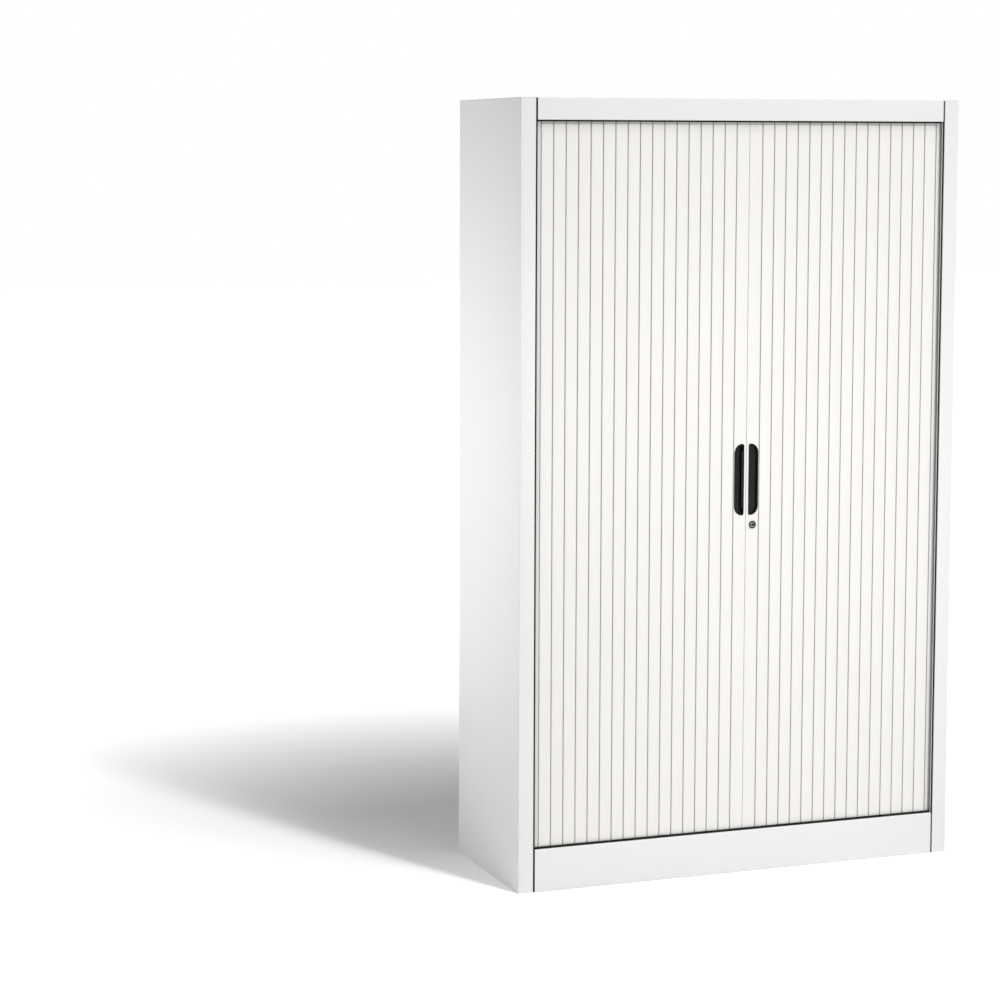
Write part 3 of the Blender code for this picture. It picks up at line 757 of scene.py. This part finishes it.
def pullRing(shape, hand, edge, inset, y, steps=12):
    # half-oval ring: a small radius beside the meeting line, an elliptic corner on the outer side
    near = shape["setback"] + inset
    far = shape["setback"] + shape["width"] - inset
    top = shape["height"] / 2 - inset
    wide = shape["cornerWidth"] - inset / 2
    tall = shape["cornerHeight"] - inset / 2
    small = shape["smallRadius"] - inset / 2
    angle = np.linspace(0, np.pi / 2, steps)
    outer = (far - wide + wide * np.cos(angle), top - tall + tall * np.sin(angle))
    angle = np.linspace(np.pi / 2, np.pi, steps // 2)
    inner = (near + small + small * np.cos(angle), top - small + small * np.sin(angle))
    upper = np.concatenate([np.stack(outer, axis=1), np.stack(inner, axis=1)])
    loop = np.concatenate([upper, upper[::-1] * (1, -1)])
    x = edge + hand * loop[:, 0]
    return np.stack([x, np.full(len(x), y), shape["level"] + loop[:, 1]], axis=1)


def buildPull(word, hand):
    # finger pull: rim rolled over the slat's face, a ledge inside it, a cup with a soft floor
    shape = pullShape
    edge = nearEdge(f"{word}_lead_slat", hand)
    face = curtainFace - shape["proud"]
    seat = curtainFace - shape["gap"]
    back = curtainFace + shape["depth"]
    floor = back - shape["wall"]
    roll = shape["rim"] / 2
    lip = arcOf((roll, face + roll * 0.7), roll, 180, 360, 9)
    rim, wall, ease = shape["rim"], shape["wall"], shape["backEase"]
    profile = [(rim + inset, floor + y) for inset, y in shape["cup"]]
    profile += [(rim + inset, face + y) for inset, y in shape["ledge"]]
    profile += [tuple(point) for point in lip[::-1]]
    profile += [(0, seat), (wall, seat), (wall, back - ease), (wall + ease, back)]
    rings = [pullRing(shape, hand, edge, inset, y) for inset, y in profile]
    made = piece(f"{word}FingerPull", loft(rings), "black_plastic", 50)

    grip, bend = gripShape, gripShape["round"]
    near, top = shape["setback"] + rim - grip["tuck"], face + grip["top"]
    end = near + grip["reach"]
    bar = np.concatenate([
        arcOf((end - bend, top + bend), bend, -90, 0, 5),
        arcOf((end - grip["noseBack"], top + grip["noseDrop"]), bend, 0, 90, 5),
        np.array([(near, top + grip["root"]), (near, top)]),
    ])
    bar[:, 0] = edge + hand * bar[:, 0]
    half = shape["height"] / 2 - shape["cornerHeight"] + grip["overrun"]
    shell = prism([bar], shape["level"] - half, shape["level"] + half)
    cut(made, [shell], "UNION")
    settle(made, f"{word}_lead", "black_plastic", f"{word}_handle")


lockBore = 0.0083  # radius of the hole for the lock


def buildLeadSlat(word, hand):
    # lead slat: straight near end, a window for the pull and, on the right, a hole for the lock
    shape = slatShape
    loops = [
        slatLoop(shape, leadLength, nearSocket=False, nearEase=shape["meetingEase"]),
        chamberLoop(shape, shape["wall"], leadLength - shape["wall"]),
    ]
    edge = nearEdge(f"{word}_lead_slat", hand)
    shell = prism([laid(loop, edge, hand) for loop in loops], slatFoot, slatHead)
    made = piece(f"{word}LeadSlat", shell, "slat_face")
    inset = pullShape["wall"] - pullShape["gap"]
    ends = (curtainFace - cutterOverrun, curtainFace + shape["thickness"] + cutterOverrun)
    rings = [pullRing(pullShape, hand, edge, inset, y) for y in ends]
    tools = [loft(rings)]
    if hand > 0:
        low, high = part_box("lock_case")
        place, level = (low[0] + high[0]) / 2, (low[2] + high[2]) / 2
        tools.append(turned([(lockBore, y) for y in ends], place, level, 48))
    cut(made, tools)
    settle(made, f"{word}_lead", "slat_plastic", f"{word}_lead_slat")


for word, hand in (("left", -1), ("right", 1)):
    buildLeadSlat(word, hand)
    buildPull(word, hand)
print("lead slats and pulls built")


# Lock, its hook and the strike plate behind the lead slats

lockShape = {
    "rim": 0.0098,
    "rimRoll": 0.0009,
    "ring": [(0.0022, 0), (0.0024, 0.0003), (0.0030, 0.0003), (0.0032, 0)],  # inset, depth
    "body": 0.0080,
    "threadDepth": 0.00035,
    "socket": 0.0058,  # bore of the barrel
    "mouthRoll": 0.0007,
    "plug": 0.0055,
    "plugEase": 0.0005,
    "dish": [(0.0034, 0.0014), (0.0036, 0.0004), (0.0039, 0)],  # radius, depth
    "proud": 0.0020,
    "nut": 0.0110,
    "nutThickness": 0.0022,
    "nutStep": 0.0002,
    "nutEase": 0.0004,  # also the screw head's
    "gap": 0.0003,
    "slotHeight": 0.0032,
    "slotBack": 0.0016,
    "slotReach": 0.0070,
    "slotDepth": 0.0075,
    "shutter": (0.0033, 0.0007, 0.0015),  # radius, front and back behind the plug's face
    "shank": 0.0037,
    "screwHead": 0.0046,
    "driver": (0.003, 0.0005, 0.0009),  # half length, half width and depth of the cross cut
    "driverEase": 0.0004,
    "noseEase": 0.0007,
    "hookEye": 0.0060,
    "hookWidth": 0.0072,
    "hookReach": 0.0250,
    "hookNose": 0.0090,
    "noseWidth": 0.0022,
}


def easedLoop(corners, radius, steps=5):
    # every corner of a closed outline turned into an arc that touches both of its sides
    points = np.array(corners, dtype=float)
    before, after = np.roll(points, 1, axis=0), np.roll(points, -1, axis=0)
    arcs = []
    for corner, previous, following in zip(points, before, after):
        a, b = previous - corner, following - corner
        a, b = a / np.hypot(*a), b / np.hypot(*b)
        half = math.acos(np.clip(a @ b, -1, 1)) / 2
        reach = radius / math.tan(half)
        middle = corner + (a + b) / np.hypot(*(a + b)) * radius / math.sin(half)
        start, end = corner + a * reach - middle, corner + b * reach - middle
        first = math.degrees(math.atan2(start[1], start[0]))
        sweep = math.degrees(math.atan2(end[1], end[0])) - first
        sweep = (sweep + 180) % 360 - 180
        arcs.append(arcOf(middle, radius, first, first + sweep, steps))
    return np.concatenate(arcs)


def easedBox(low, high, radius, steps=5):
    # rectangle between two opposite corners, eased like any other outline
    corners = [(low[0], low[1]), (high[0], low[1]), (high[0], high[1]), (low[0], high[1])]
    return easedLoop(corners, radius, steps)


def easedPlate(loop, low, high, axis, ease=0.0003):
    # outline carried along an axis, its two rims drawn in by the ease: four rings, both ends filled
    centre = (loop.max(axis=0) + loop.min(axis=0)) / 2
    reach = (loop.max(axis=0) - loop.min(axis=0)) / 2
    small = centre + (loop - centre) * (1 - ease / reach)
    rows = [(small, low), (loop, low + ease), (loop, high - ease), (small, high)]
    return loft([np.insert(ring, axis, place, axis=1) for ring, place in rows])


def buildLock():
    # barrel with its nut, plug with key way and shutter, and the hook, all about one line along Y
    shape, gap = lockShape, lockShape["gap"]
    low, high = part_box("lock_case")
    place, level = (low[0] + high[0]) / 2, (low[2] + high[2]) / 2
    face, seat = curtainFace - shape["proud"], curtainFace - gap
    nutFront = curtainFace + slatShape["thickness"] + gap
    nutBack = nutFront + shape["nutThickness"]
    rim, body, nut = shape["rim"], shape["body"], shape["nut"]
    step, ease = shape["nutStep"], shape["nutEase"]
    roll = shape["rimRoll"]
    crown = arcOf((rim - roll, face + roll), roll, 0, -90, 6)
    roll = shape["mouthRoll"]
    mouth = arcOf((shape["socket"] + roll, face + roll), roll, -90, -180, 5)
    thread = [
        (body - shape["threadDepth"] * (i % 2), seat + (nutFront - seat) * i / 16)
        for i in range(17)
    ]
    case = [(rim, seat), *crown, *[(rim - inset, face + depth) for inset, depth in shape["ring"]]]
    case += [*mouth, (shape["socket"], nutBack), (body, nutBack), (body, nutBack - step)]
    case += [(nut - ease, nutBack - step), (nut, nutBack - step - ease), (nut, nutFront + ease)]
    case += [(nut - ease, nutFront), (body, nutFront), *thread[::-1][1:]]
    made = piece("lockBarrel", turned(case, place, level, 72, closed=True), "dark_nickel")
    settle(made, "right_lead", "lock_metal", "lock_case")

    plugLow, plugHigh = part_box("lock_cylinder")
    front = plugLow[1]
    hookLow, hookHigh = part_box("lock_hook")
    plug, shank, head = shape["plug"], shape["shank"], shape["screwHead"]
    roll = shape["plugEase"]
    edge = arcOf((plug - roll, front + roll), roll, -90, 0, 5)
    core = [*[(radius, front + depth) for radius, depth in shape["dish"]], *edge]
    core += [(plug, hookLow[1] - gap), (shank, hookLow[1] - gap), (shank, hookHigh[1] + gap)]
    core += [(head - ease, hookHigh[1] + gap), (head, hookHigh[1] + gap + ease)]
    core += [(head, plugHigh[1] - ease), (head - ease, plugHigh[1])]
    made = piece("lockPlug", turned(core, place, level, 64), "lock_metal")
    half = shape["slotHeight"] / 2
    slotEnd = (place + shape["slotReach"], level + half)
    slot = easedBox((place - shape["slotBack"], level - half), slotEnd, half * 0.9)
    key = prism([slot], front - cutterOverrun, front + shape["slotDepth"], 1)
    long, wide, deep = shape["driver"]
    low, high = (place - long, level - wide), (place + long, level + wide)
    driver = easedBox(low, high, shape["driverEase"])
    cross = prism([driver], plugHigh[1] - deep, plugHigh[1] + cutterOverrun / 2, 1)
    cut(made, [key, cross])
    settle(made, "lock", "lock_metal", "lock_cylinder")
    # dark shutter that closes the key way a little behind the plug's face
    radius, near, far = shape["shutter"]
    disc = arcOf((place, level), radius, 0, 360, 49)[:-1]
    made = piece("keyShutter", easedPlate(disc, front + near, front + far, 1), "black_plastic")
    settle(made, "lock", "black_plastic")

    eye, wide, reach = shape["hookEye"], shape["hookWidth"] / 2, shape["hookReach"]
    start = math.degrees(math.asin(wide / eye))
    ring = arcOf((0, 0), eye, start - 90, 270 - start, 40)
    tip, inner = -shape["hookNose"], shape["noseWidth"] - reach
    nose = [(-wide, inner), (tip, inner), (tip, -reach), (wide, -reach)]
    # the first two corners are the eye's ends, whose arcs of 4 points are left out
    noseArcs = easedLoop([ring[0], ring[-1], *nose], shape["noseEase"], 4)[4 * 2:]
    loop = np.concatenate([ring, noseArcs]) + (place, level)
    hole = arcOf((place, level), shape["shank"] + gap, 0, 360, 41)[:-1]
    made = piece("lockHook", prism([loop, hole], hookLow[1], hookHigh[1], 1), "zinc_steel")
    settle(made, "lock", "zinc_steel", "lock_hook")


strikeShape = {
    "thickness": 0.0016,
    "corner": 0.0025,
    "lip": 0.0085,
    "lipEase": 0.0004,
    "lipDrop": 0.0001,  # keeps the lip's top off the plate's
    "screwPlaces": (0.28, 0.66),  # shares of the plate's width
    "screwLevel": 0.010,
    "screwRadius": (0.0034, 0.0034, 0.0028, 0.0016, 0.0012, 0.0006),
    "screwHeight": (-0.0002, 0.0005, 0.0013, 0.0017, 0.0010, 0.0009),  # over the plate
}


def buildStrike():
    # angle bracket: an upright plate, a lip carried up Z along its side, and two screw heads
    shape = strikeShape
    low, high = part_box("strike_plate")
    top = low[1] + shape["thickness"]
    plate = easedBox(low.xz, high.xz,shape["corner"])
    made = piece("strikePlate", easedPlate(plate, low[1], top, 1), "zinc_steel")
    inner = (high[0] - shape["thickness"], low[1] + shape["thickness"] / 2)
    side = easedBox(inner, high[:2], shape["lipEase"], 3)
    shell = prism([side], high[2] - shape["lip"], high[2] - shape["lipDrop"])
    cut(made, [shell], "UNION")
    settle(made, "left_lead", "zinc_steel", "strike_plate")
    heads = []
    for share in shape["screwPlaces"]:
        x = low[0] + (high[0] - low[0]) * share
        profile = list(zip(shape["screwRadius"], np.add(top, shape["screwHeight"])))
        heads.append(turned(profile, x, low[2] + shape["screwLevel"], 32))
    made = piece("strikeScrews", together(*heads), "zinc_steel", 50)
    settle(made, "left_lead", "zinc_steel")


buildLock()
buildStrike()
print("lock built")


# Carcass: sheets bent along their outer corners

carcass = {
    "sheet": 0.0012,
    "bend": 0.0022,
    "bendSteps": 8,
    "stile": 0.040,
    "rearFlange": 0.025,
    "footFlange": 0.020,
    "header": 0.0540,
    "sealGap": 0.0044,  # from the stile to the header's end: the seal and its two gaps
    "seamGap": 0.0003,
    "wingLap": 0.005,  # how far the lid's wings reach into its middle sheet
}


def bentSheet(corners, values, bend=None, steps=None):
    # closed outline of a sheet whose wall lies to the left of a path that only turns left
    # each bend: outer arc of the bend radius and, about the same centre, an inner arc less the wall
    wall = values["sheet"]
    bend, steps = bend or values["bend"], steps or values["bendSteps"]
    points = np.array(corners, dtype=float)
    along = np.diff(points, axis=0)
    along /= np.hypot(along[:, 0], along[:, 1])[:, None]
    left = np.stack([-along[:, 1], along[:, 0]], axis=1)
    outer, inner = [points[:1]], [points[:1] + left[0] * wall]
    for k in range(1, len(points) - 1):
        turn = math.acos(np.clip(along[k - 1] @ along[k], -1, 1))
        reach = bend * math.tan(turn / 2)
        centre = points[k] - along[k - 1] * reach + left[k - 1] * bend
        first = math.degrees(math.atan2(-left[k - 1][1], -left[k - 1][0]))
        last = first + math.degrees(turn)
        outer.append(arcOf(centre, bend, first, last, steps + 1))
        inner.append(arcOf(centre, bend - wall, first, last, steps + 1))
    outer.append(points[-1:])
    inner.append(points[-1:] + left[-1] * wall)
    return np.concatenate([np.concatenate(outer), np.concatenate(inner)[::-1]])


def buildSides():
    # rear flange, side wall, stile and its return as one bent sheet, with a strip along the foot
    values = carcass
    for word, hand in (("left", -1), ("right", 1)):
        node = f"{word}_side_panel"
        low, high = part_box(node)
        side, front, back = max(-low[0], high[0]), low[1], high[1]
        inner, returnEnd = side - values["stile"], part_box(f"{word}_edge_seal")[1][1]
        path = [(-side + values["rearFlange"], back), (-side, back), (-side, front)]
        path += [(-inner, front), (-inner, returnEnd)]
        if hand > 0:
            path = [(-x, y) for x, y in reversed(path)]
        made = piece(f"{word}Side", prism([bentSheet(path, values)], 0, high[2]), "body_enamel")
        reach = sorted((hand * (side - values["sheet"] / 2), hand * (side - values["footFlange"])))
        clear = 2 * values["bend"]  # the strip stops short of both bends
        foot = easedBox((reach[0], front + clear), (reach[1], back - clear), 0.0005, 3)
        cut(made, [prism([foot], 0, values["sheet"])], "UNION")
        settle(made, "root", "body_enamel", node)


def buildTop():
    # lid and header are one sheet between the stiles; the lid's wings run out over the side panels
    values = carcass
    low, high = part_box("top_panel")
    side, front, back, top = high[0], low[1], high[1], high[2]
    end = side - values["stile"] - values["sealGap"]
    under = top - values["header"]
    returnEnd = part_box("left_edge_seal")[1][1]
    path = [(back, top), (front, top), (front, under), (returnEnd, under)]
    made = piece("lidAndHeader", prism([bentSheet(path, values)], -end, end, 0), "body_enamel")
    joint, shoulder = end - values["wingLap"], end + values["seamGap"]
    bent = front + values["bend"]
    wings = []
    for hand in (-1, 1):
        wing = [(joint, bent), (shoulder, bent), (shoulder, front), (side, front)]
        wing += [(side, back), (joint, back)]
        loop = np.array([(hand * x, y) for x, y in wing])
        wings.append(prism([loop], top - values["sheet"], top))
    cut(made, wings, "UNION")
    settle(made, "root", "body_enamel", "top_panel")


def buildPlinth():
    values = carcass
    low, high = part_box("plinth")
    front, returnEnd = low[1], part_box("left_edge_seal")[1][1]
    path = [(returnEnd, high[2]), (front, high[2]), (front, 0), (front + values["footFlange"], 0)]
    made = piece("plinthBoard", prism([bentSheet(path, values)], low[0], high[0], 0), "body_enamel")
    settle(made, "root", "body_enamel", "plinth")


sealValues = {"depth": 0.0024, "ease": 0.0009, "inset": 0.0003, "webLap": 0.0002}


def buildSeals():
    # black strip beside each stile, pushed on a thin painted web that runs back to the curtain
    values = sealValues
    for word in ("left", "right"):
        low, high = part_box(f"{word}_edge_seal")
        back = low[1] + values["depth"]
        loop = easedBox(low, (high[0], back), values["ease"])
        made = piece(f"{word}Seal", prism([loop], low[2], high[2]), "black_plastic")
        settle(made, "root", "black_plastic", f"{word}_edge_seal")
        inset, lap = values["inset"], values["webLap"]
        loop = easedBox((low[0] + inset, back - lap), (high[0] - inset, high[1]), inset)
        made = piece(f"{word}SealWeb", prism([loop], low[2] + lap, high[2] - lap), "body_enamel")
        settle(made, "root", "body_enamel")


def roundedRing(low, high, radius, inset, z, steps=10):
    # rectangle with round corners, drawn in by the inset
    near, far = (low[0] + inset, low[1] + inset), (high[0] - inset, high[1] - inset)
    loop = roundedBox(near, far, max(radius - inset, 0.0004), steps)
    return np.insert(loop, 2, z, axis=1)


def quarter(count):
    # (sine, cosine) of angles spread evenly over a quarter turn
    angle = np.linspace(0, np.pi / 2, count)
    return list(zip(np.sin(angle), np.cos(angle)))


def trayRings(low, high, radius, lip, values, openUp=False):
    # pressed tray as one closed sheet: face, bend, fold, bend, lip, and back inside to the face
    # the section holds the inset of each ring and its height below the face
    wall, bend = values["sheet"], values["bend"]
    drop = high[2] - low[2]
    small = bend - wall
    outside = [(bend - bend * s, bend - bend * c) for s, c in quarter(6)]
    section = list(outside)
    if lip:
        section += [(bend - bend * c, drop - bend + bend * s) for s, c in quarter(6)]
        section += [(lip, drop), (lip, drop - wall)]
        section += [(bend - small * c, drop - bend + small * s) for s, c in quarter(6)][::-1]
    else:
        section += [(0, drop), (wall, drop)]
    section += [(bend - small * s, bend - small * c) for s, c in quarter(6)][::-1]
    rings = []
    for inset, depth in section:
        z = low[2] + depth if openUp else high[2] - depth
        rings.append(roundedRing(low, high, radius, inset, z))
    return loft(rings)


trayValues = {"shelves": 4, "shelfCorner": 0.030, "shelfLip": 0.012, "panCorner": 0.0008}


def buildTrays():
    # shelves with a lip folded in under them, and the two pans without one
    values = trayValues
    for number in range(1, values["shelves"] + 1):
        low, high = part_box(f"shelf_{number}")
        shell = trayRings(low, high, values["shelfCorner"], values["shelfLip"], carcass)
        made = piece(f"shelf{number}", shell, "body_enamel")
        settle(made, "root", "body_enamel", f"shelf_{number}")
    pans = (("floor_panel", "floorPan", False), ("ceiling_panel", "ceilingPan", True))
    for node, name, openUp in pans:
        low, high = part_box(node)
        shell = trayRings(low, high, values["panCorner"], 0, carcass, openUp)
        made = piece(name, shell, "body_enamel")
        settle(made, "root", "body_enamel", node)


innerValues = {
    "frontReturn": 0.0020,  # past the curtain's straight end
    "rearReturn": 0.0240,
    "gap": 0.0003,
    "bays": 5,
    "column": 0.0795,  # of the slots, either side of the middle
    "slotsPerBay": 3,
    "slotWidth": 0.004,
    "slotHeight": 0.014,
    "clipWidth": 0.012,
    "clipHeight": 0.010,
    "clipDrop": 0.0253,  # from a shelf's level down to the clip's top
    "clipFoot": 0.0018,
    "clipReach": 0.0100,
    "clipTop": 0.0016,
    "clipEase": 0.0006,
}


def buildInnerWalls():
    # liner rounded past both corners, with slots for shelf clips and the clips under each shelf
    values = innerValues
    for word, hand in (("left", -1), ("right", 1)):
        node = f"{word}_inner_wall"
        low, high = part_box(node)
        outer = max(-low[0], high[0])
        straightEnd = abs(nearEdge(f"{word}_curtain_tail", hand))
        path = [(straightEnd - values["frontReturn"], low[1]), (outer, low[1])]
        path += [(outer, high[1]), (straightEnd - values["rearReturn"], high[1])]
        if hand < 0:
            path = [(-x, y) for x, y in reversed(path)]
        sheet = bentSheet(path, carcass, outer - straightEnd, 20)
        made = piece(f"{word}Liner", prism([sheet], low[2], high[2]), "body_enamel")
        # slot level = base + bay * (number of the bay + share of it)
        base = low[2] - values["gap"]
        bay = (high[2] - low[2] + 2 * values["gap"]) / values["bays"]
        wide, tall = values["slotWidth"] / 2, values["slotHeight"] / 2
        reach = sorted((hand * (outer - 2 * cutterOverrun), hand * (outer + cutterOverrun)))
        slots, clips = [], []
        for y in (-values["column"], values["column"]):
            for level in range(values["bays"]):
                for step in range(1, values["slotsPerBay"] + 1):
                    z = base + bay * (level + step / (values["slotsPerBay"] + 1))
                    loop = easedBox((y - wide, z - tall), (y + wide, z + tall), wide * 0.95)
                    slots.append(prism([loop], *reach, 0))
                if level:
                    z = base + bay * level - values["clipDrop"] - values["clipHeight"] / 2
                    clips.append(clipShell(hand, outer, y, z, values))
        cut(made, [together(*slots)])
        settle(made, "root", "body_enamel", node)
        made = piece(f"{word}ShelfClips", together(*clips), "zinc_steel")
        settle(made, "root", "zinc_steel")


def clipShell(hand, outer, y, z, values):
    # bent clip: profile in (x, z) with a flat top that the shelf lies on, carried along Y
    wide, tall = values["clipWidth"] / 2, values["clipHeight"] / 2
    face = outer - carcass["sheet"]
    tip = face - values["clipReach"]
    path = [(face, z - tall), (face - values["clipFoot"], z - tall)]
    path += [(tip, z + tall - values["clipTop"]), (tip, z + tall), (face, z + tall)]
    loop = easedLoop([(hand * x, level) for x, level in path], values["clipEase"], 4)
    return prism([loop], y - wide, y + wide, 1)


backValues = {
    "corner": 0.0020,
    "rivetColumn": 0.5600,
    "rivetEnd": 0.09,  # from the floor and from the sheet's top
    "rivets": 8,
    "rivetRadius": (0.0031, 0.0031, 0.0026, 0.0012),
    "rivetHeight": (-0.0003, 0.0002, 0.0008, 0.0011),
}


def buildBacks():
    # two flat sheets and a column of rivet heads along each side of the outer one
    values = backValues
    for node, name in (("back_panel", "backSheet"), ("inner_back_panel", "innerBackSheet")):
        low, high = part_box(node)
        loop = easedBox(low.xz, high.xz,values["corner"])
        made = piece(name, easedPlate(loop, low[1], high[1], 1), "body_enamel")
        settle(made, "root", "body_enamel", node)
    low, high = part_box("back_panel")
    profile = list(zip(values["rivetRadius"], np.add(high[1], values["rivetHeight"])))
    heads = []
    for hand in (-1, 1):
        for z in np.linspace(values["rivetEnd"], high[2] - values["rivetEnd"], values["rivets"]):
            heads.append(turned(profile, hand * values["rivetColumn"], z, 24))
    made = piece("backRivets", together(*heads), "zinc_steel", 50)
    settle(made, "root", "zinc_steel")


buildSides()
buildTop()
buildPlinth()
buildSeals()
buildTrays()
buildInnerWalls()
buildBacks()
print("carcass built")


# Stage

def layFloor():
    corners = np.array([(-1, -1, 0), (1, -1, 0), (1, 1, 0), (-1, 1, 0)], dtype=float)
    corners *= floorValues["halfWidth"]
    mesh = bpy.data.meshes.new("floor")
    mesh.from_pydata(corners.tolist(), [], [(0, 1, 2, 3)])
    floor = bpy.data.objects.new("floor", mesh)
    bpy.context.scene.collection.objects.link(floor)
    mesh.materials.append(floorFinish(floorValues))


layFloor()
placeCamera(shot)
placeLamps(lampValues)
setWorld(studioValues)
bpy.context.scene.view_settings.view_transform = "Standard"
print("stage set")
